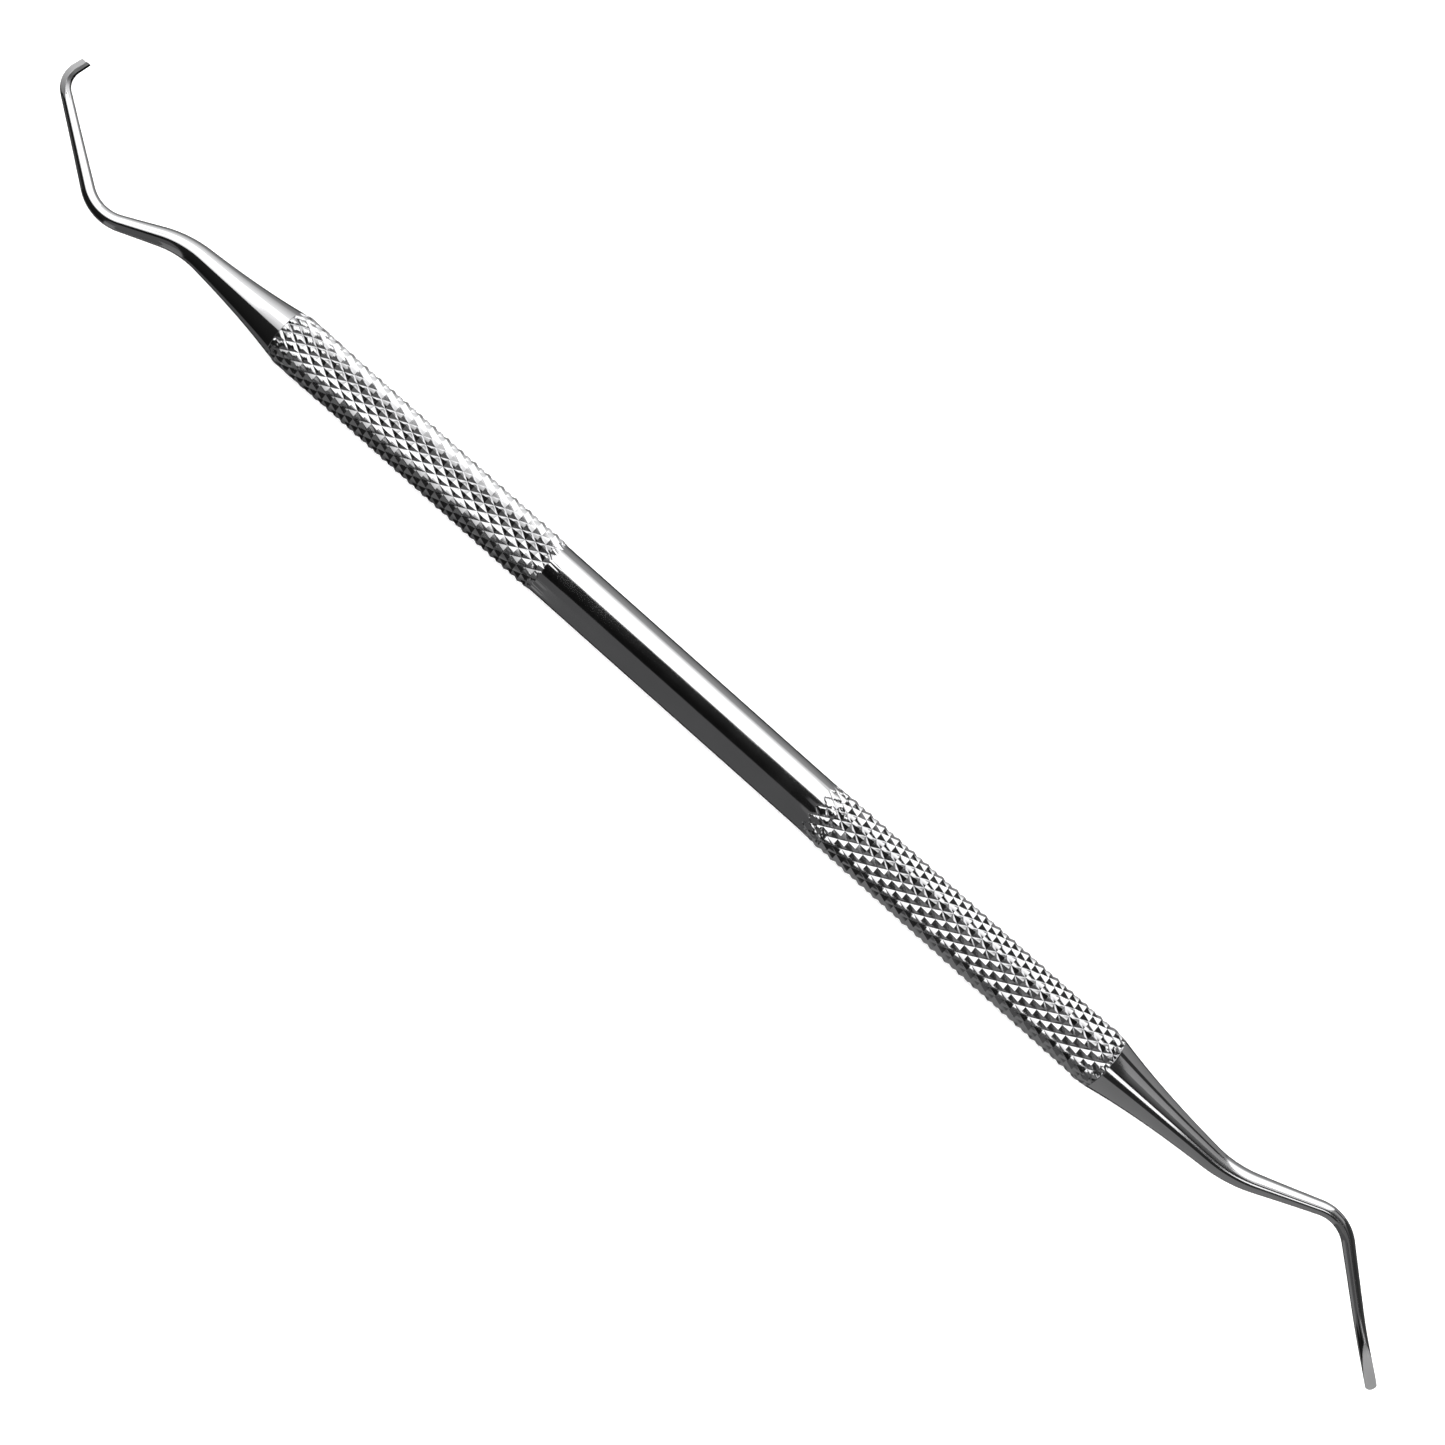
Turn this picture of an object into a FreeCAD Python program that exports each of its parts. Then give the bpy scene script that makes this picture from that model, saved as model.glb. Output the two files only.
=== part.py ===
import FreeCAD, Part
import math
import os
import Sketcher

# Double-ended dental hand scaler, in millimetres: a solid knurled handle with a forged working
# end pressed into each of its ends.
# +X runs along the handle's axis from working end A to working end B. Both shanks are bent in the
# XY plane, and +Z is up when the instrument lies flat. The origin is on the handle's axis, in the
# middle of its plain section.

Vector, Placement, Rotation = FreeCAD.Vector, FreeCAD.Placement, FreeCAD.Rotation
UP = Vector(0, 0, 1)

DRIVING_SIZES = {
    # Handle: a plain polished bar between two rolled knurl bands. Crest radii are over the knurl.
    "bar_radius": 2.77,
    "plain_half_length": 17.1,
    "crest_plain_a": 2.97,
    "crest_outer_a": 2.82,
    "crest_plain_b": 2.95,
    "crest_outer_b": 3.10,
    "handle_end_a": 51.15,
    "handle_end_b": 54.1,
    "knurl_runout": 0.9,
    "end_chamfer": 0.2,
    # Each working end's tang is a press fit in a socket drilled in the handle's end.
    "socket_radius": 1.5,
    "socket_depth": 10.0,
    "drill_point_depth": 0.9,
    "tang_radius": 1.49,
    "tang_length": 9.5,
    "tang_root": 1.0,
    "shoulder_round": 0.25,
    # Shank taper: radius = tip_radius + flare * exp(-distance / taper_length).
    "tip_radius_a": 0.45,
    "flare_a": 2.17,
    "taper_length_a": 10.9,
    "tip_radius_b": 0.45,
    "flare_b": 2.5,
    "taper_length_b": 11.8,
    # Corners of shank A's centreline, and the radius of the bend at each.
    "bend_one_x_a": -64.1,
    "bend_two_x_a": -72.45,
    "bend_two_y_a": -3.75,
    "heel_x_a": -83.52,
    "heel_y_a": 4.15,
    "toe_x_a": -82.64,
    "toe_y_a": 7.18,
    "bend_one_radius_a": 11.0,
    "bend_two_radius_a": 4.6,
    "heel_radius_a": 2.2,
    # Corners of shank B's centreline. Its blade leans out of the shank's plane.
    "bend_one_x_b": 70.2,
    "bend_two_x_b": 81.12,
    "bend_two_y_b": 4.31,
    "heel_x_b": 89.6,
    "heel_y_b": -2.93,
    "toe_x_b": 93.65,
    "toe_y_b": -6.48,
    "toe_z_b": 1.75,
    "bend_one_radius_b": 14.0,
    "bend_two_radius_b": 4.2,
    "heel_radius_b": 14.0,
    # Hoe blade A: its section before grinding, its ground sides and its end bevel.
    "blade_length_a": 4.6,
    "half_width_a": 0.95,
    "half_thickness_a": 0.42,
    "side_grind_from_y": 2.9,
    "side_grind_to_y": 8.0,
    "side_grind_from_z": 0.54,
    "side_grind_to_z": 0.43,
    "bevel_back_x": -83.05,
    "bevel_back_y": 6.78,
    "bevel_edge_x": -82.2,
    "bevel_edge_y": 6.81,
    # Chisel blade B: its section before grinding, its ground top and its rounded end, which
    # stops short of the centreline's toe.
    "blade_length_b": 6.0,
    "half_width_b": 0.59,
    "half_thickness_b": 0.5,
    "end_trim_b": 0.2,
    "face_length_b": 4.1,
    "face_depth_b": 0.6,
    "end_radius_b": 0.75,
    "cutter_reach": 3.0,
}
SECTION_STEP = 1.4  # the largest spacing of the lofts' sections
TURN_STEP = math.radians(12)  # and the largest turn from one to the next

doc = FreeCAD.newDocument("HandScaler")


def make_sheet():
    made = doc.addObject("Spreadsheet::Sheet", "Sizes")
    for row, (alias, value) in enumerate(DRIVING_SIZES.items(), start=1):
        made.set(f"A{row}", alias)
        made.set(f"B{row}", str(value))
        made.setAlias(f"B{row}", alias)
    doc.recompute()
    return made


sheet = make_sheet()


def size(alias):
    return float(sheet.get(alias))


# Bodies and sketches


def new_body(label):
    body = doc.addObject("PartDesign::Body", label)
    body.Label = label
    return body


def new_sketch(body, name, role, placed=None):
    """A sketch on one of the body's origin planes, moved to a placement in the body's frame."""
    plane = next(f for f in body.Origin.OriginFeatures if f.Role == role)
    sketch = body.newObject("Sketcher::SketchObject", name)
    sketch.AttachmentSupport = (plane, "")
    sketch.MapMode = "FlatFace"
    if placed:
        sketch.AttachmentOffset = plane.Placement.inverse() * placed
    return sketch


def bind(sketch, name, expression, *constraint):
    """A sketch dimension that starts at a rough value and then follows the expression."""
    index = sketch.addConstraint(Sketcher.Constraint(*constraint))
    sketch.renameConstraint(index, name)
    sketch.setExpression(f"Constraints.{name}", expression)


def add_outline(sketch, corners):
    """A closed outline of straight edges through corners, each an (x, y) pair of expressions."""
    count, first = len(corners), sketch.GeometryCount
    turns = [2 * math.pi * k / count for k in range(count)]
    rough = [Vector(math.cos(turn), math.sin(turn), 0) for turn in turns]
    for k in range(count):
        sketch.addGeometry(Part.LineSegment(rough[k], rough[(k + 1) % count]))
    for k in range(count):
        line, following = first + k, first + (k + 1) % count
        sketch.addConstraint(
            Sketcher.Constraint("Coincident", line, 2, following, 1)
        )
    for k, (x, y) in enumerate(corners):
        bind(sketch, f"x{first + k}", x, "DistanceX", first + k, 1, rough[k].x)
        bind(sketch, f"y{first + k}", y, "DistanceY", first + k, 1, rough[k].y)


def add_circle(sketch, radius):
    circle = sketch.addGeometry(Part.Circle(Vector(), UP, 1.0))
    sketch.addConstraint(Sketcher.Constraint("Coincident", circle, 3, -1, 1))
    bind(sketch, "radius", radius, "Radius", circle, 1.0)


def add_ellipse(sketch, longer_half, shorter_half, longer_way):
    """An ellipse about the sketch's origin, its longer axis "Horizontal" or "Vertical"."""
    ends = [Vector(0.6, 0, 0), Vector(0, 0.5, 0)]
    if longer_way == "Vertical":
        ends = [Vector(0, 0.6, 0), Vector(-0.5, 0, 0)]
    ellipse = sketch.addGeometry(Part.Ellipse(*ends, Vector()))
    sketch.exposeInternalGeometry(ellipse)
    longer, shorter = ellipse + 1, ellipse + 2
    sketch.addConstraint(Sketcher.Constraint("Coincident", ellipse, 3, -1, 1))
    sketch.addConstraint(Sketcher.Constraint(longer_way, longer))
    bind(sketch, "longer", f"2 * ({longer_half})", "Distance", longer, 1.2)
    bind(sketch, "shorter", f"2 * ({shorter_half})", "Distance", shorter, 1.0)


def turned(body, kind, name, outlines):
    """A Revolution or Groove of outlines about the handle's axis."""
    sketch = new_sketch(body, f"{name}_outline", "XY_Plane")
    for corners in outlines:
        add_outline(sketch, corners)
    feature = body.newObject(f"PartDesign::{kind}", name)
    feature.Profile = sketch
    feature.ReferenceAxis = (sketch, ["H_Axis"])
    feature.Angle = 360
    doc.recompute()


def ground_away(body, name, sketch):
    """A cut through the whole blade, both ways from the sketch's plane. It has to remove metal."""
    before = body.Shape.Volume
    pocket = body.newObject("PartDesign::Pocket", name)
    pocket.Profile = sketch
    pocket.Type = "ThroughAll"
    pocket.Midplane = True
    doc.recompute()
    if not body.Shape.Volume < before:
        raise RuntimeError(f"{name} cuts nothing")


# Centrelines


def stations(corners, bend_radii):
    """(distance, point, direction) of each section, along straight runs and tangent arcs."""
    found, distance, at = [], 0.0, corners[0]
    for corner, after, radius in zip(corners[1:], corners[2:], bend_radii):
        into = (corner - at).normalize()
        out = (after - corner).normalize()
        turn = into.getAngle(out)
        cut = radius * math.tan(turn / 2)
        start = corner - into * cut
        found += straight_run(distance, at, start)
        distance += (start - at).Length
        sideways = (out - into * math.cos(turn)) * (1 / math.sin(turn))
        steps = math.ceil(max(turn / TURN_STEP, radius * turn / SECTION_STEP))
        for angle in (turn * k / steps for k in range(steps)):
            along = into * math.sin(angle) + sideways * (1 - math.cos(angle))
            direction = into * math.cos(angle) + sideways * math.sin(angle)
            found.append((distance + radius * angle, start + along * radius, direction))
        distance += radius * turn
        at = corner + out * cut
    found += straight_run(distance, at, corners[-1])
    distance += (corners[-1] - at).Length
    found.append((distance, corners[-1], (corners[-1] - at).normalize()))
    return found


def straight_run(distance, start, end):
    """The run's stations, without the one at its end."""
    length = (end - start).Length
    steps = math.ceil(length / SECTION_STEP)
    direction = (end - start).normalize()
    offsets = [length * k / steps for k in range(steps)]
    return [(distance + d, start + direction * d, direction) for d in offsets]


def across(point, direction):
    """The placement whose x lies in the XY plane, y points upwards and z follows the direction."""
    sideways = UP.cross(direction).normalize()
    return Placement(point, Rotation(sideways, UP, direction, "ZXY"))


# Pieces


def make_handle():
    body = new_body("handle")
    end_a, end_b = "-Sizes.handle_end_a", "Sizes.handle_end_b"
    profile = [
        (end_a, "0"),
        (end_a, "Sizes.crest_outer_a - Sizes.end_chamfer"),
        (f"{end_a} + Sizes.end_chamfer", "Sizes.crest_outer_a"),
        ("-Sizes.plain_half_length - Sizes.knurl_runout", "Sizes.crest_plain_a"),
        ("-Sizes.plain_half_length", "Sizes.bar_radius"),
        ("Sizes.plain_half_length", "Sizes.bar_radius"),
        ("Sizes.plain_half_length + Sizes.knurl_runout", "Sizes.crest_plain_b"),
        (f"{end_b} - Sizes.end_chamfer", "Sizes.crest_outer_b"),
        (end_b, "Sizes.crest_outer_b - Sizes.end_chamfer"),
        (end_b, "0"),
    ]
    turned(body, "Revolution", "bar_with_knurl_bands", [profile])
    sockets = []
    for end, inwards in ((end_a, "+"), (end_b, "-")):
        floor = f"{end} {inwards} Sizes.socket_depth"
        sockets.append(
            [
                (end, "0"),
                (end, "Sizes.socket_radius"),
                (floor, "Sizes.socket_radius"),
                (f"{floor} {inwards} Sizes.drill_point_depth", "0"),
            ]
        )
    before = body.Shape.Volume
    turned(body, "Groove", "tang_sockets", sockets)
    if not body.Shape.Volume < before:
        raise RuntimeError("the sockets cut nothing")
    return body


def make_shank(body, end, corners, bend_radii, longer_way):
    """The tapered shank and unground blade, lofted through sections along the centreline."""
    found = stations(corners, bend_radii)
    blade_start = found[-1][0] - size(f"blade_length_{end}")
    sketches = []
    for k, (distance, point, direction) in enumerate(found):
        placed = across(point, direction)
        sketch = new_sketch(body, f"section_{end}_{k}", "YZ_Plane", placed)
        radius = (
            f"(Sizes.tip_radius_{end} + Sizes.flare_{end}"
            f" * exp(-{distance:.4f} / Sizes.taper_length_{end}))"
        )
        share = (distance - blade_start) / size(f"blade_length_{end}")
        if share <= 0:
            add_circle(sketch, radius)
        else:
            round_part = f"{1 - share:.4f} * {radius}"
            longer = f"{round_part} + {share:.4f} * Sizes.half_width_{end}"
            shorter = f"{round_part} + {share:.4f} * Sizes.half_thickness_{end}"
            add_ellipse(sketch, longer, shorter, longer_way)
        sketches.append(sketch)
    doc.recompute()
    loft = body.newObject("PartDesign::AdditiveLoft", "shank_and_blade")
    loft.Profile = sketches[0]
    loft.Sections = sketches[1:]
    loft.Ruled = False
    doc.recompute()


def add_tang(body, end, sign):
    """The tang inside the handle's socket, rooted a little way into the shank."""
    shoulder = f"{sign} Sizes.handle_end_{end}"
    inner = f"{shoulder} {'-' if sign == '+' else '+'} Sizes.tang_length"
    root = f"{shoulder} {sign} Sizes.tang_root"
    profile = [
        (inner, "0"),
        (inner, "Sizes.tang_radius"),
        (root, "Sizes.tang_radius"),
        (root, "0"),
    ]
    turned(body, "Revolution", "tang", [profile])


def round_shoulder(body, end, sign):
    """Rounds the rim of the shank's big end."""
    shoulder_x = float(f"{sign}1") * size(f"handle_end_{end}")
    big_radius = size(f"tip_radius_{end}") + size(f"flare_{end}")
    rims = [
        f"Edge{k}"
        for k, edge in enumerate(body.Shape.Edges, start=1)
        if abs(edge.BoundBox.XMin - shoulder_x) < 0.01
        and abs(edge.BoundBox.XMax - shoulder_x) < 0.01
        and edge.BoundBox.YLength > big_radius
        and edge.BoundBox.YMax > size("tang_radius") + 0.5
    ]
    rounded = body.Tip
    fillet = body.newObject("PartDesign::Fillet", "shoulder_round")
    fillet.Base = (rounded, rims)
    fillet.setExpression("Radius", "Sizes.shoulder_round")
    doc.recompute()


def make_working_end_a():
    body = new_body("working_end_a")
    corners = [
        Vector(-size("handle_end_a"), 0, 0),
        Vector(size("bend_one_x_a"), 0, 0),
        Vector(size("bend_two_x_a"), size("bend_two_y_a"), 0),
        Vector(size("heel_x_a"), size("heel_y_a"), 0),
        Vector(size("toe_x_a"), size("toe_y_a"), 0),
    ]
    bends = ["bend_one_radius_a", "bend_two_radius_a", "heel_radius_a"]
    make_shank(body, "a", corners, [size(name) for name in bends], "Vertical")
    add_tang(body, "a", "-")
    round_shoulder(body, "a", "-")
    grind_blade_a(body)
    return body


def grind_blade_a(body):
    """The hoe's two flat sides, and the bevel across its toe."""
    sides = new_sketch(body, "side_grind_outline", "YZ_Plane")
    far = "Sizes.side_grind_from_z + Sizes.cutter_reach"
    for sign in ("", "-"):
        wedge = [
            ("Sizes.side_grind_from_y", f"{sign}Sizes.side_grind_from_z"),
            ("Sizes.side_grind_to_y", f"{sign}Sizes.side_grind_to_z"),
            ("Sizes.side_grind_to_y", f"{sign}({far})"),
            ("Sizes.side_grind_from_y", f"{sign}({far})"),
        ]
        add_outline(sides, wedge)
    ground_away(body, "side_grind", sides)
    bevel = new_sketch(body, "bevel_outline", "XY_Plane")
    slope = (
        "(Sizes.bevel_edge_y - Sizes.bevel_back_y)"
        " / (Sizes.bevel_edge_x - Sizes.bevel_back_x) * Sizes.cutter_reach"
    )
    beyond = "Sizes.bevel_edge_y + Sizes.cutter_reach"
    beyond_toe = [
        ("Sizes.bevel_back_x - Sizes.cutter_reach", f"Sizes.bevel_back_y - {slope}"),
        ("Sizes.bevel_edge_x + Sizes.cutter_reach", f"Sizes.bevel_edge_y + {slope}"),
        ("Sizes.bevel_edge_x + Sizes.cutter_reach", beyond),
        ("Sizes.bevel_back_x - Sizes.cutter_reach", beyond),
    ]
    add_outline(bevel, beyond_toe)
    ground_away(body, "end_bevel", bevel)


def make_working_end_b():
    body = new_body("working_end_b")
    corners = [
        Vector(size("handle_end_b"), 0, 0),
        Vector(size("bend_one_x_b"), 0, 0),
        Vector(size("bend_two_x_b"), size("bend_two_y_b"), 0),
        Vector(size("heel_x_b"), size("heel_y_b"), 0),
        Vector(size("toe_x_b"), size("toe_y_b"), size("toe_z_b")),
    ]
    bends = ["bend_one_radius_b", "bend_two_radius_b", "heel_radius_b"]
    make_shank(body, "b", corners, [size(name) for name in bends], "Horizontal")
    add_tang(body, "b", "+")
    round_shoulder(body, "b", "+")
    grind_blade_b(body, corners[-2], corners[-1])
    return body


def grind_blade_b(body, heel, toe):
    """The chisel's flat top, then its rounded end."""
    direction = (toe - heel).normalize()
    sideways = UP.cross(direction).normalize()
    upwards = direction.cross(sideways)
    side_view = Placement(toe, Rotation(direction, upwards, sideways.negative(), "ZXY"))
    grind = new_sketch(body, "face_grind_outline", "XY_Plane", side_view)
    face_start = "-Sizes.end_trim_b - Sizes.face_length_b"
    slope = "Sizes.face_depth_b / Sizes.face_length_b"
    face_outline = [
        (face_start, "Sizes.half_thickness_b"),
        (
            "Sizes.cutter_reach",
            f"Sizes.half_thickness_b - {slope} * (Sizes.cutter_reach - ({face_start}))",
        ),
        ("Sizes.cutter_reach", "Sizes.cutter_reach"),
        (face_start, "Sizes.cutter_reach"),
    ]
    add_outline(grind, face_outline)
    ground_away(body, "face_grind", grind)
    top_view = Placement(toe, Rotation(direction, sideways, upwards, "ZXY"))
    trim = new_sketch(body, "end_outline", "XY_Plane", top_view)
    add_round_cutter(trim, "-Sizes.end_trim_b - Sizes.end_radius_b", "Sizes.end_radius_b")
    ground_away(body, "end_round", trim)


def add_round_cutter(sketch, centre_x, radius):
    """The outline of what lies beyond a half circle that bulges towards +x."""
    far = "Sizes.cutter_reach"
    rough = [Vector(0, 1, 0), Vector(0, 3, 0), Vector(3, 3, 0)]
    rough += [Vector(3, -3, 0), Vector(0, -3, 0), Vector(0, -1, 0)]
    for start, end in zip(rough, rough[1:]):
        sketch.addGeometry(Part.LineSegment(start, end))
    half_circle = Part.ArcOfCircle(Part.Circle(Vector(), UP, 1.0), -math.pi / 2, math.pi / 2)
    arc = sketch.addGeometry(half_circle)
    for line in range(arc - 1):
        sketch.addConstraint(Sketcher.Constraint("Coincident", line, 2, line + 1, 1))
    sketch.addConstraint(Sketcher.Constraint("Coincident", arc - 1, 2, arc, 1))
    sketch.addConstraint(Sketcher.Constraint("Coincident", arc, 2, 0, 1))
    sketch.addConstraint(Sketcher.Constraint("PointOnObject", arc, 3, -1))
    for line in (0, 2, 4):
        sketch.addConstraint(Sketcher.Constraint("Vertical", line))
    for line in (1, 3):
        sketch.addConstraint(Sketcher.Constraint("Horizontal", line))
    bind(sketch, "radius", radius, "Radius", arc, 1.0)
    bind(sketch, "centre_x", centre_x, "DistanceX", arc, 3, -0.1)
    bind(sketch, "start_x", centre_x, "DistanceX", 0, 1, -0.1)
    bind(sketch, "end_x", centre_x, "DistanceX", 4, 2, -0.1)
    bind(sketch, "far_x", far, "DistanceX", 2, 1, 3.0)
    bind(sketch, "far_y", far, "DistanceY", 2, 1, 3.0)
    bind(sketch, "near_y", f"-{far}", "DistanceY", 2, 2, -3.0)


def check(bodies):
    failed = [o.Name for o in doc.Objects if {"Invalid", "Error"} & set(o.State)]
    if failed:
        raise RuntimeError(f"failed objects: {failed}")
    for body in bodies:
        shape = body.Shape
        if shape.isNull() or not shape.isValid() or len(shape.Solids) != 1:
            raise RuntimeError(f"{body.Label} isn't one valid solid")


def main():
    bodies = [make_handle(), make_working_end_a(), make_working_end_b()]
    doc.recompute()
    check(bodies)
    os.makedirs("parts", exist_ok=True)
    for body in bodies:
        body.Shape.exportStep(f"parts/{body.Label}.step")
        print(body.Label, round(body.Shape.Volume, 1), body.Shape.BoundBox)


main()
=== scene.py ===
import math

import bmesh
import bpy
import numpy as np
from mathutils import Matrix, Vector


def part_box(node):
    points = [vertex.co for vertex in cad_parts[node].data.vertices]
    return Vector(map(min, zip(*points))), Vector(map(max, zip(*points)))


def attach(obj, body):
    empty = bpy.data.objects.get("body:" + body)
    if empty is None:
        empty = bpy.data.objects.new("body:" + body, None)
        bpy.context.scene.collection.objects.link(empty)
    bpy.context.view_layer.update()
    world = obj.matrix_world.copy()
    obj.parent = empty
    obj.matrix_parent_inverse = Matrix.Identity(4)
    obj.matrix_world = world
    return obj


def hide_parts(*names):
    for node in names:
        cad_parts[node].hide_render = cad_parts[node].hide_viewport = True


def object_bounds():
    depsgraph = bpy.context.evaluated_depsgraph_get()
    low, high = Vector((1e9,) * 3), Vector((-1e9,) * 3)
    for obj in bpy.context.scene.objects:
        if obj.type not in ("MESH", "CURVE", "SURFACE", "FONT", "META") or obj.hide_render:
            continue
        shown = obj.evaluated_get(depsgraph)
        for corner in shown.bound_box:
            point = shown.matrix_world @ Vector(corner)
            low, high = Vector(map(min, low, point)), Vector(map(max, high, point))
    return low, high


# Looks of the double-ended dental hand scaler: a knurled handle and two polished working ends.
# Lengths are worked out in millimetres in the CAD frame, and meshes are made in metres.

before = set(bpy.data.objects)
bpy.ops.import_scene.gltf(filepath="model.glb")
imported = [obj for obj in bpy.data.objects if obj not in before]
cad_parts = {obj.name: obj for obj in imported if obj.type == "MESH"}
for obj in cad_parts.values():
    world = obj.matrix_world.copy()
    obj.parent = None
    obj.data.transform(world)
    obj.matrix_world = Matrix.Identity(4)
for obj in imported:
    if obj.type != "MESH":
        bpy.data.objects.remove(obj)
cad_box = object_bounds()

MM = 0.001
UP = np.array([0.0, 0.0, 1.0])
SHARP_ANGLE = math.radians(24)
HANDLE_LOW, HANDLE_HIGH = (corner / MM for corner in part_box("handle"))
END_A, END_B = HANDLE_LOW.x, HANDLE_HIGH.x


def eased(t):
    """0 below 0, 1 above 1, and smooth in between."""
    t = np.clip(t, 0.0, 1.0)
    return t * t * (3 - 2 * t)


def link(obj):
    bpy.context.scene.collection.objects.link(obj)
    return obj


def new_piece(name, verts_mm, faces, replaced_node):
    """A smooth-shaded mesh that stands for a CAD node."""
    mesh = bpy.data.meshes.new(name)
    mesh.from_pydata(np.asarray(verts_mm) * MM, [], faces)
    mesh.validate()
    mesh.update()
    mesh.shade_smooth()
    mesh.set_sharp_from_angle(angle=SHARP_ANGLE)
    piece = link(bpy.data.objects.new(name, mesh))
    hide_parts(replaced_node)
    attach(piece, "root")
    return piece


# Handle: rings of vertices round the X axis. The knurl's two families of helical grooves run
# along the diagonals of the grid's cells, so that each groove's floor is a line of mesh edges.

BAR_RADIUS = 2.77
STARTS = 16  # grooves each way, and diamonds round the handle
CELLS = 10  # grid cells along and round a diamond, an even number
COLUMNS = STARTS * CELLS
FULL_DEPTH = 0.34
FIRST_CUT = 0.16  # share of the plain runout that the grooves are already into where they start
UNEVENNESS = 0.12  # how unevenly the grooves start and stop
RAISED_BY = 0.8  # share of the plain runout over which the metal rises to the crests
SHOULDER_RUNOUT = 1.1  # how far from the handle's end the crests start to fall to the shoulder
WORN_FROM, WORN_DEPTH = 0.8, 0.035  # the diamonds' tops are slightly worn
PLAIN_STATIONS = 25  # along the plain bar, counting those at the bands
END_EDGE = 0.03  # how far the end faces' rims lie inside the shoulders
SOCKET_RADIUS, SOCKET_DEPTH, DRILL_POINT, DRILL_TIP_RADIUS = 1.5, 10.0, 0.9, 0.04

BANDS = {
    # plain_x: where the band meets the plain bar. Crests: radii over the diamonds there and at the
    # handle's end. shoulder: radius that the band falls to at that end. Runouts: how far the
    # grooves take to reach their full depth. end_share: share of it that they keep at the end.
    "a": dict(plain_x=-17.25, end_x=END_A, pitch=1.74, plain_crest=2.97, end_crest=2.82,
              shoulder=2.64, plain_runout=1.3, end_runout=9.0, end_share=0.45),
    "b": dict(plain_x=16.85, end_x=END_B, pitch=1.84, plain_crest=2.95, end_crest=3.10,
              shoulder=2.97, plain_runout=4.2, end_runout=2.6, end_share=0.5),
}


def knurl_rings(band):
    """The x of each of the band's rings, a tenth of a pitch apart, from the lower x up."""
    step = band["pitch"] / CELLS
    low, high = sorted((band["plain_x"], band["end_x"]))
    count = int((high - low) / step)
    if band["end_x"] < band["plain_x"]:
        return [high - step * k for k in range(count, -1, -1)]
    return [low + step * k for k in range(count + 1)]


def knurl_radius(band, x, ring, rng):
    """Radii round one ring of a band."""
    inner = abs(x - band["plain_x"])
    outer = abs(x - band["end_x"])
    share = inner / (inner + outer)
    crest = band["plain_crest"] + (band["end_crest"] - band["plain_crest"]) * share
    column = np.arange(COLUMNS)
    one = np.abs((column + ring) % CELLS / CELLS * 2 - 1)
    two = np.abs((column - ring) % CELLS / CELLS * 2 - 1)
    flank = np.minimum(1 - one, 1 - two)
    uneven = UNEVENNESS * (rng.random(COLUMNS) - 0.5)
    cut = eased(inner / band["plain_runout"] + FIRST_CUT + uneven)
    cut = cut * (band["end_share"] + (1 - band["end_share"]) * eased(outer / band["end_runout"]))
    raised = eased(inner / (RAISED_BY * band["plain_runout"]))
    top = BAR_RADIUS + (crest - BAR_RADIUS) * raised
    top = band["shoulder"] + (top - band["shoulder"]) * eased(outer / SHOULDER_RUNOUT + uneven)
    fall = np.maximum(0.0, cut - flank)
    worn = WORN_DEPTH * np.maximum(0.0, flank - WORN_FROM)
    return top - FULL_DEPTH * (fall + worn)


def handle_rings():
    """(x, radii, groove phase or None) of every ring from end A to end B."""
    rng = np.random.default_rng(11)
    full = np.ones(COLUMNS)
    rings = []
    for name in ("a", "b"):
        band = BANDS[name]
        positions = knurl_rings(band)
        for ring, x in enumerate(positions):
            rings.append((x, knurl_radius(band, x, ring, rng), ring))
        if name == "a":
            plain = np.linspace(positions[-1], BANDS["b"]["plain_x"], PLAIN_STATIONS)[1:-1]
            rings += [(x, full * BAR_RADIUS, None) for x in plain]
    first, last = rings[0], rings[-1]
    start = (END_A, np.minimum(first[1], BANDS["a"]["shoulder"]) - END_EDGE, None)
    end = (END_B, np.minimum(last[1], BANDS["b"]["shoulder"]) - END_EDGE, None)
    return [start, *rings, end]


def socket_rings():
    """The bore from end B's mouth to its drill point, and then end A's, as (x, radius) lists."""
    bores = []
    for end, inwards in ((END_B, -1), (END_A, 1)):
        mouth = (end, SOCKET_RADIUS)
        floor = (end + inwards * SOCKET_DEPTH, SOCKET_RADIUS)
        point = (end + inwards * (SOCKET_DEPTH + DRILL_POINT), DRILL_TIP_RADIUS)
        bores.append([mouth, floor, point])
    return bores


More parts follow.
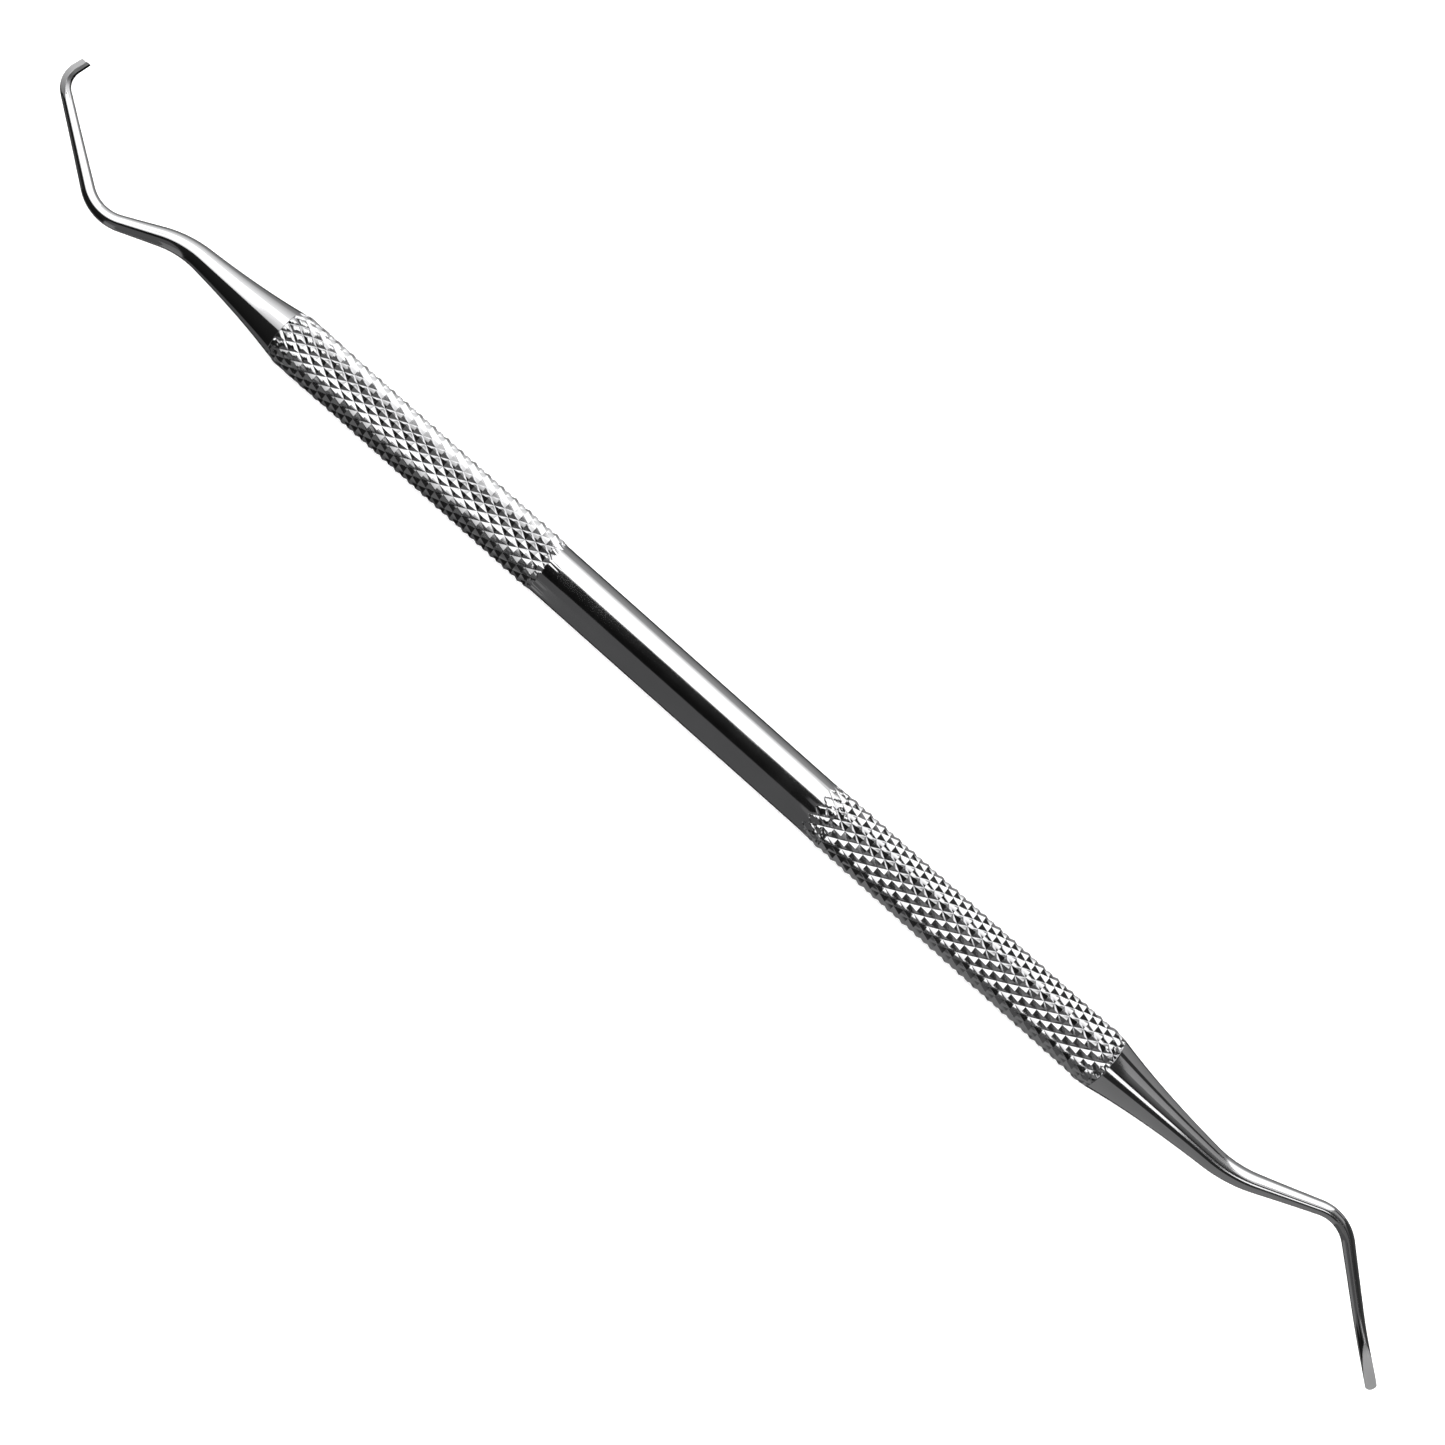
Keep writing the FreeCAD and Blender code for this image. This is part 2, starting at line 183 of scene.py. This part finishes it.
def make_handle():
    """The knurled bar with a drilled socket in each end face."""
    angles = 2 * math.pi * np.arange(COLUMNS) / COLUMNS
    around = np.stack([np.zeros(COLUMNS), -np.sin(angles), np.cos(angles)], 1)
    rings = handle_rings()
    verts = [np.array([x, 0, 0]) + around * radii[:, None] for x, radii, _ in rings]
    faces = []

    def join(low, high, outwards, phase=None):
        """Faces between two rings, by number. Cells beside a groove are split along it."""
        for j in range(COLUMNS):
            k = (j + 1) % COLUMNS
            a, b = low * COLUMNS + j, low * COLUMNS + k
            c, d = high * COLUMNS + k, high * COLUMNS + j
            if phase is None:
                cell = [(a, b, c, d)]
            elif (j + phase + 1) % CELLS == 0:
                cell = [(a, b, d), (b, c, d)]
            else:
                cell = [(a, b, c), (a, c, d)]
            faces.extend([f[::-1] for f in cell] if outwards else cell)

    for k in range(len(rings) - 1):
        join(k, k + 1, False, rings[k][2] if rings[k + 1][2] is not None else None)
    for mouth_ring, bore in zip((len(rings) - 1, 0), socket_rings()):
        outwards = mouth_ring == 0
        before = mouth_ring
        for x, radius in bore:
            verts.append(np.array([x, 0, 0]) + around * radius)
            join(before, len(verts) - 1, outwards)
            before = len(verts) - 1
        cap = tuple(before * COLUMNS + j for j in range(COLUMNS))
        faces.append(cap if mouth_ring else cap[::-1])
    return new_piece("knurled_handle", np.concatenate(verts), faces, "handle")


# Working ends: a tapered round shank swept along its bent centreline, with a ground blade. Each
# section is drawn as (across, up) points, across in the shanks' plane and up square to it.

SHANKS = {
    # bends: radius at each inner corner. The shank's radius falls from tip_radius + flare towards
    # tip_radius, and the blade's half widths are reached over blade_length.
    # flats, ground over ground_length: (across, up) of the normal, distance from the centreline at
    # the end, and its growth away from the end.
    # end_trim, end_slant, end_radius: how far the blade stops before the centreline does, the slope
    # of its end, and that end's radius.
    "a": dict(
        corners=[(END_A, 0, 0), (-64.1, 0, 0), (-72.45, -3.75, 0),
                 (-83.52, 4.15, 0), (-82.64, 7.18, 0)],
        bends=[11.0, 4.6, 2.2],
        tip_radius=0.45, flare=2.17, taper_length=10.9,
        blade_length=4.6, half_across=0.42, half_up=0.95, ground_length=5.5,
        flats=[((0.17, 1), 0.43, 0.027), ((0.17, -1), 0.43, 0.027),
               ((-0.62, 0.78), 0.46, 0.02), ((-0.62, -0.78), 0.46, 0.02)],
        end_trim=0.406, end_slant=0.329, end_radius=None,
    ),
    "b": dict(
        corners=[(END_B, 0, 0), (70.2, 0, 0), (81.12, 4.31, 0),
                 (89.6, -2.93, 0), (93.65, -6.48, 1.75)],
        bends=[14.0, 4.2, 14.0],
        tip_radius=0.45, flare=2.5, taper_length=11.8,
        blade_length=6.0, half_across=0.59, half_up=0.5, ground_length=4.5,
        flats=[((0.1, 1), -0.1, 0.146)],
        end_trim=0.2, end_slant=0.0, end_radius=0.75,
    ),
}
SECTION_POINTS = 144  # an even number
SECTION_STEP = 0.1
BEND_STEP = math.radians(4)
END_REACH = 1.2  # the end's shape is worked into this much of the blade
TANG_RADIUS, TANG_LENGTH, TANG_CHAMFER, TANG_CENTRE_RADIUS = 1.49, 9.5, 0.1, 0.02
SHOULDER_ROUND = 0.06
SHOULDER_ANGLES = np.radians([0, 22.5, 45, 67.5])


def centreline(corners, bends):
    """(distance, point, direction) of each section, along straight runs and tangent arcs."""
    corners = [np.array(c, float) for c in corners]
    found, distance, at = [], 0.0, corners[0]

    def run(start, end):
        length = np.linalg.norm(end - start)
        direction = (end - start) / length
        for d in np.linspace(0, length, max(2, math.ceil(length / SECTION_STEP)), endpoint=False):
            found.append((distance + d, start + direction * d, direction))
        return length

    for corner, after, radius in zip(corners[1:], corners[2:], bends):
        into = (corner - at) / np.linalg.norm(corner - at)
        out = (after - corner) / np.linalg.norm(after - corner)
        turn = math.acos(np.clip(into @ out, -1, 1))
        cut = radius * math.tan(turn / 2)
        start = corner - into * cut
        distance += run(at, start)
        sideways = (out - into * math.cos(turn)) / math.sin(turn)
        steps = math.ceil(max(radius * turn / SECTION_STEP, turn / BEND_STEP))
        for angle in turn * np.arange(steps) / steps:
            along = into * math.sin(angle) + sideways * (1 - math.cos(angle))
            direction = into * math.cos(angle) + sideways * math.sin(angle)
            found.append((distance + radius * angle, start + along * radius, direction))
        distance += radius * turn
        at = corner + out * cut
    distance += run(at, corners[-1])
    found.append((distance, corners[-1], found[-1][2]))
    return found


def ellipse(across, up):
    """An outline with these two half widths."""
    turns = 2 * math.pi * np.arange(SECTION_POINTS) / SECTION_POINTS
    return np.stack([np.cos(turns) * across, np.sin(turns) * up], 1)


def section(point, direction, outline):
    """An outline's points, set square to the direction."""
    sideways = np.cross(UP, direction)
    sideways /= np.linalg.norm(sideways)
    upwards = np.cross(direction, sideways)
    return point + np.outer(outline[:, 0], sideways) + np.outer(outline[:, 1], upwards)


def ground_down(outline, shank, left):
    """The outline ground down to the blade's flats, and each point's flat, counted from 1."""
    flat_of = np.zeros(SECTION_POINTS, int)
    for number, (normal, depth, growth) in enumerate(shank["flats"], start=1):
        normal = np.array(normal) / np.linalg.norm(normal)
        beyond = outline @ normal - (depth + growth * left)
        cut = (beyond > 0) & (left < shank["ground_length"])
        outline = outline - np.outer(np.where(cut, beyond, 0.0), normal)
        flat_of[cut] = number
    return outline, flat_of


def end_gap(shank, across):
    """How far before the centreline's end the blade stops, at each distance across it."""
    gap = shank["end_trim"] + shank["end_slant"] * across
    radius = shank["end_radius"]
    if radius:
        gap += radius - np.sqrt(radius**2 - across**2)
    return gap


def shank_rings(shank):
    """Rings of the tang, shank and blade, and the flat that each of their points lies on."""
    found = centreline(shank["corners"], shank["bends"])
    length = found[-1][0]
    first_point, first_direction = found[0][1], found[0][2]
    big = shank["tip_radius"] + shank["flare"]
    round_parts = [(-TANG_LENGTH, TANG_CENTRE_RADIUS), (-TANG_LENGTH, TANG_RADIUS - TANG_CHAMFER),
                   (TANG_CHAMFER - TANG_LENGTH, TANG_RADIUS), (0.0, TANG_RADIUS)]
    for angle in SHOULDER_ANGLES:
        shrink = SHOULDER_ROUND * (1 - math.sin(angle))
        round_parts.append((SHOULDER_ROUND * (1 - math.cos(angle)), big - shrink))
    rings, flats = [], []
    for along, radius in round_parts:
        centre = first_point + first_direction * along
        rings.append(section(centre, first_direction, ellipse(radius, radius)))
        flats.append(np.zeros(SECTION_POINTS, int))
    for distance, point, direction in found:
        if distance < SHOULDER_ROUND:
            continue
        left = length - distance
        radius = shank["tip_radius"] + shank["flare"] * math.exp(-distance / shank["taper_length"])
        share = max(0.0, 1 - left / shank["blade_length"])
        outline = ellipse(radius + (shank["half_across"] - radius) * share,
                          radius + (shank["half_up"] - radius) * share)
        back = end_gap(shank, outline[:, 0]) * (1 - left / END_REACH) if left < END_REACH else 0.0
        outline, flat_of = ground_down(outline, shank, left + back - shank["end_trim"])
        rings.append(section(point, direction, outline) - np.multiply.outer(back, direction))
        flats.append(flat_of)
    return rings, flats


def shank_faces(flats):
    """Faces between the rings and over both ends, with the number of the flat each is part of."""
    faces, numbers = [], []
    for r in range(len(flats) - 1):
        for j in range(SECTION_POINTS):
            k = (j + 1) % SECTION_POINTS
            low, high = r * SECTION_POINTS, (r + 1) * SECTION_POINTS
            faces.append((low + j, low + k, high + k, high + j))
            corners = {flats[r][j], flats[r][k], flats[r + 1][k], flats[r + 1][j]}
            numbers.append(int(corners.pop()) if len(corners) == 1 else 0)
    faces.append(tuple(range(SECTION_POINTS))[::-1])
    numbers.append(0)
    last = (len(flats) - 1) * SECTION_POINTS
    for j in range(SECTION_POINTS // 2):
        across = (j, j + 1, SECTION_POINTS - j - 1, (SECTION_POINTS - j) % SECTION_POINTS)
        faces.append(tuple(last + corner for corner in dict.fromkeys(across)))
        numbers.append(-1)
    return faces, numbers


def make_working_end(letter):
    """The piece, with material 1 on its flats and 2 on its end, and crisp edges round them."""
    rings, flats = shank_rings(SHANKS[letter])
    faces, numbers = shank_faces(flats)
    piece = new_piece(f"shank_and_blade_{letter}", np.concatenate(rings), faces,
                      f"working_end_{letter}")
    bm = bmesh.new()
    bm.from_mesh(piece.data)
    bm.faces.ensure_lookup_table()
    for face, number in zip(bm.faces, numbers):
        face.material_index = 2 if number < 0 else min(number, 1)
    for edge in bm.edges:
        if len({numbers[face.index] for face in edge.link_faces}) > 1:
            edge.smooth = False
    bmesh.ops.recalc_face_normals(bm, faces=bm.faces)
    bm.to_mesh(piece.data)
    bm.free()
    return piece


# Steel

ROUGHNESS_SPREAD = 0.04
NOISE_DETAIL = 3.0
NOISE_LOW, NOISE_HIGH = 0.3, 0.7  # the range that noise values mostly lie in
STAIN_SIZE = 4.0  # millimetres
STAINED = 0.93  # brightness of the stained places, as a share of the clean ones
MIX_FACTOR, MIX_A, MIX_B, MIX_RESULT = 0, 6, 7, 2  # a mix node's sockets for colours


def steel(name, base, roughness, grain, grain_size, scratch_depth):
    """Stainless steel with fine scratches, faint staining and uneven polish."""
    material = bpy.data.materials.new(name)
    material.use_nodes = True
    nodes, links = material.node_tree.nodes, material.node_tree.links
    shader = nodes["Principled BSDF"]
    shader.inputs["Metallic"].default_value = 1.0
    place = nodes.new("ShaderNodeTexCoord")
    stretch = nodes.new("ShaderNodeMapping")
    stretch.inputs["Scale"].default_value = grain
    links.new(place.outputs["Object"], stretch.inputs["Vector"])

    def noise(size_mm, vector):
        made = nodes.new("ShaderNodeTexNoise")
        made.inputs["Scale"].default_value = 1 / (size_mm * MM)
        made.inputs["Detail"].default_value = NOISE_DETAIL
        links.new(vector, made.inputs["Vector"])
        return made.outputs["Fac"]

    def spread(value, low, high):
        made = nodes.new("ShaderNodeMapRange")
        made.inputs["From Min"].default_value = NOISE_LOW
        made.inputs["From Max"].default_value = NOISE_HIGH
        made.inputs["To Min"].default_value = low
        made.inputs["To Max"].default_value = high
        links.new(value, made.inputs["Value"])
        return made.outputs["Result"]

    scratches = noise(grain_size, stretch.outputs["Vector"])
    handled = noise(STAIN_SIZE, place.outputs["Object"])
    tint = nodes.new("ShaderNodeMix")
    tint.data_type = "RGBA"
    tint.inputs[MIX_A].default_value = (*[c * STAINED for c in base], 1)
    tint.inputs[MIX_B].default_value = (*base, 1)
    links.new(spread(handled, 0.0, 1.0), tint.inputs[MIX_FACTOR])
    links.new(tint.outputs[MIX_RESULT], shader.inputs["Base Color"])
    links.new(spread(handled, roughness - ROUGHNESS_SPREAD / 2, roughness + ROUGHNESS_SPREAD / 2),
              shader.inputs["Roughness"])
    bump = nodes.new("ShaderNodeBump")
    bump.inputs["Strength"].default_value = 1.0
    bump.inputs["Distance"].default_value = scratch_depth * MM
    links.new(scratches, bump.inputs["Height"])
    links.new(bump.outputs["Normal"], shader.inputs["Normal"])
    return material


# Studio: panels that run along the instrument, each between two angles off the zenith, where
# positive angles lean towards +Y. What they show is seen only in the steel.

PANEL_DISTANCE = 0.35
LAYER_GAP = 0.01  # share of that distance between one panel and the next behind it
PANEL_ARC = 15  # degrees
PANELS = {
    # name: (from x, to x, from angle, to angle, brightness at the first angle and at the second).
    # The nearest comes first, and hides those after it.
    "softbox": (-0.60, 0.16, 26, 62, 1.6, 1.6),
    "softbox_edge": (-0.16, 0.16, 62, 80, 1.6, 1.5),
    "softbox_fade": (-0.16, 0.16, 80, 100, 1.5, 0.36),
    "softbox_wing": (-0.27, -0.09, 5, 26, 1.5, 1.6),
    "wing_fold": (-0.27, -0.09, -10, 5, 0.8, 1.5),
    "wing_dusk": (-0.60, -0.27, -10, 26, 0.6, 1.1),
    "wing_fade": (-0.60, -0.16, 62, 110, 1.1, 0.42),
    "low_card": (-0.60, 0.16, 100, 145, 0.36, 0.15),
    "strip": (0.235, 0.50, -19, -5, 1.5, 1.5),
    "strip_shade": (0.20, 0.42, -3, 5, 0.012, 0.012),
    "near_card": (0.20, 0.30, 6, 32, 0.05, 0.15),
    "grey_card": (0.17, 0.30, 33, 67, 0.34, 0.28),
    "narrow_flag": (0.205, 0.50, 68, 86, 0.03, 0.03),
    "far_card": (0.17, 0.29, 86, 145, 0.26, 0.2),
    "dark_card": (0.30, 0.75, 6, 100, 0.025, 0.05),
    "low_flag": (0.20, 0.34, -46, -22, 0.02, 0.02),
    "under_card": (0.17, 0.60, -145, -47, 0.2, 0.17),
    "left_card": (-0.15, -0.055, -130, -66, 0.22, 0.16),
    "middle_card": (0.055, 0.20, -66, -2, 0.13, 0.11),
    "black_flag": (-0.09, 0.05, -11, 23, 0.006, 0.02),
    "black_flag_low": (-0.16, 0.05, -34, -11, 0.004, 0.006),
    "blade_card": (0.165, 0.20, 4, 34, 0.9, 0.9),
    "black_flag_wing": (-0.60, -0.16, -110, -11, 0.006, 0.016),
    "bottom_flag": (-0.60, 0.70, 148, 212, 0.01, 0.01),
}


def glowing(name):
    """Light as strong as the mesh's own brightness attribute says."""
    material = bpy.data.materials.new(name)
    material.use_nodes = True
    nodes, links = material.node_tree.nodes, material.node_tree.links
    nodes.clear()
    glow = nodes.new("ShaderNodeEmission")
    brightness = nodes.new("ShaderNodeAttribute")
    brightness.attribute_name = "brightness"
    links.new(brightness.outputs["Fac"], glow.inputs["Strength"])
    links.new(glow.outputs["Emission"], nodes.new("ShaderNodeOutputMaterial").inputs["Surface"])
    return material


def make_panel(name, layer, sizes, material):
    """A curved strip of panel, in flat arcs. Later layers lie behind earlier ones."""
    low_x, high_x, low_angle, high_angle, low_bright, high_bright = sizes
    away = PANEL_DISTANCE * (1 + LAYER_GAP * layer)
    steps = math.ceil((high_angle - low_angle) / PANEL_ARC)
    verts, brightness = [], []
    for k in range(steps + 1):
        angle = math.radians(low_angle + (high_angle - low_angle) * k / steps)
        for x in (low_x, high_x):
            verts.append((x, away * math.sin(angle), away * math.cos(angle)))
            brightness.append(low_bright + (high_bright - low_bright) * k / steps)
    faces = [(2 * k, 2 * k + 1, 2 * k + 3, 2 * k + 2) for k in range(steps)]
    mesh = bpy.data.meshes.new(name)
    mesh.from_pydata(verts, [], faces)
    mesh.attributes.new("brightness", "FLOAT", "POINT").data.foreach_set("value", brightness)
    mesh.materials.append(material)
    panel = link(bpy.data.objects.new(name, mesh))
    panel.visible_camera = panel.visible_diffuse = panel.visible_shadow = False


def make_floor_light():
    """A wide soft light high above, which the steel doesn't mirror."""
    data = bpy.data.lights.new("overhead", "AREA")
    data.shape = "RECTANGLE"
    data.size, data.size_y = 1.8, 1.8  # metres
    data.energy = 30.0  # watts
    light = link(bpy.data.objects.new("overhead", data))
    light.location = (0.3, 0.5, 1.6)
    light.visible_glossy = light.visible_camera = False


FLOOR_RADIUS, FLOOR_CURVE = 1.4, 0.5
WALL_RADIUS, WALL_HEIGHT = FLOOR_RADIUS + FLOOR_CURVE, 2.5
BACKDROP_SIDES = 96


def make_backdrop():
    """A pale floor that curves up into a wall far away, all round the instrument."""
    level = cad_box[0].z
    profile = [(FLOOR_RADIUS, 0.0)]
    for t in np.radians(np.arange(15, 91, 15)):
        profile.append((FLOOR_RADIUS + FLOOR_CURVE * math.sin(t), FLOOR_CURVE * (1 - math.cos(t))))
    profile.append((WALL_RADIUS, WALL_HEIGHT))
    turns = [2 * math.pi * k / BACKDROP_SIDES for k in range(BACKDROP_SIDES)]
    bm = bmesh.new()
    rings = []
    for radius, height in profile:
        ring = [(radius * math.cos(t), radius * math.sin(t), level + height) for t in turns]
        rings.append([bm.verts.new(corner) for corner in ring])
    bm.faces.new(rings[0])
    for low, high in zip(rings, rings[1:]):
        for k in range(BACKDROP_SIDES):
            following = (k + 1) % BACKDROP_SIDES
            face = bm.faces.new((low[k], low[following], high[following], high[k]))
            face.smooth = True
    mesh = bpy.data.meshes.new("backdrop")
    bm.to_mesh(mesh)
    bm.free()
    paper = bpy.data.materials.new("pale_paper")
    paper.use_nodes = True
    shader = paper.node_tree.nodes["Principled BSDF"]
    shader.inputs["Base Color"].default_value = (0.9, 0.9, 0.9, 1)
    shader.inputs["Roughness"].default_value = 0.9
    shader.inputs["Emission Color"].default_value = (1, 1, 1, 1)
    shader.inputs["Emission Strength"].default_value = 0.35
    mesh.materials.append(paper)
    backdrop = link(bpy.data.objects.new("backdrop", mesh))
    backdrop.visible_glossy = False


def make_world():
    """Faint even light from a dim room."""
    world = bpy.data.worlds.new("dim_room")
    bpy.context.scene.world = world
    world.use_nodes = True
    background = world.node_tree.nodes["Background"]
    background.inputs["Color"].default_value = (0.085, 0.085, 0.086, 1)
    background.inputs["Strength"].default_value = 1.0


CAMERA_TARGET = Vector((0.00499, 0.0, 0.0))
CAMERA_HEIGHT = 0.24
CAMERA_FIELD = 0.13872  # width seen at the target
CAMERA_TURN = math.radians(41.67)


def make_camera():
    """Straight above the instrument, turned so that end A is at the upper left."""
    data = bpy.data.cameras.new("camera")
    data.sensor_width = 36.0
    data.lens = data.sensor_width * CAMERA_HEIGHT / CAMERA_FIELD
    camera = link(bpy.data.objects.new("camera", data))
    camera.location = CAMERA_TARGET + Vector((0, 0, CAMERA_HEIGHT))
    right = Vector((math.cos(CAMERA_TURN), math.sin(CAMERA_TURN), 0))
    upwards = Vector((-math.sin(CAMERA_TURN), math.cos(CAMERA_TURN), 0))
    camera.rotation_mode = "QUATERNION"
    axes = Matrix((right, upwards, Vector((0, 0, 1)))).transposed()
    camera.rotation_quaternion = axes.to_quaternion()
    bpy.context.scene.camera = camera


make_camera()
handle = make_handle()
working_a = make_working_end("a")
working_b = make_working_end("b")

BRIGHT = (0.80, 0.80, 0.81)
handle_steel = steel("handle_steel", BRIGHT, 0.11, (0.12, 1, 1), 0.12, 0.0006)
polished = steel("working_end_steel", BRIGHT, 0.09, (1, 1, 1), 0.15, 0.0004)
# One ground steel comes in two copies. The darker copy on end A's flats is painted shade, and the
# lighter copy on end B's flat is painted highlight.
ground_steel_shaded_copy = steel("ground_steel_painted_shade", (0.56, 0.56, 0.565), 0.34, (1, 0.2, 1), 0.05, 0.0012)
ground_steel_lit_copy = steel("ground_steel_painted_highlight", (0.86, 0.86, 0.865), 0.3, (1, 0.2, 1), 0.05, 0.0012)
# The blades' end faces get a much darker copy of the steel. This is painted shade, because the ends
# face down, away from the light.
end_face_painted_shade_steel = steel("end_face_painted_shade_steel", (0.3, 0.3, 0.305), 0.2, (1, 1, 1), 0.05, 0.001)
handle.data.materials.append(handle_steel)
for piece, ground in ((working_a, ground_steel_shaded_copy), (working_b, ground_steel_lit_copy)):
    for material in (polished, ground, end_face_painted_shade_steel):
        piece.data.materials.append(material)

panel_light = glowing("panel_light")
for layer, (panel_name, sizes) in enumerate(PANELS.items()):
    make_panel(panel_name, layer, sizes, panel_light)
make_floor_light()
make_backdrop()
make_world()
bpy.context.scene.view_settings.view_transform = "Standard"
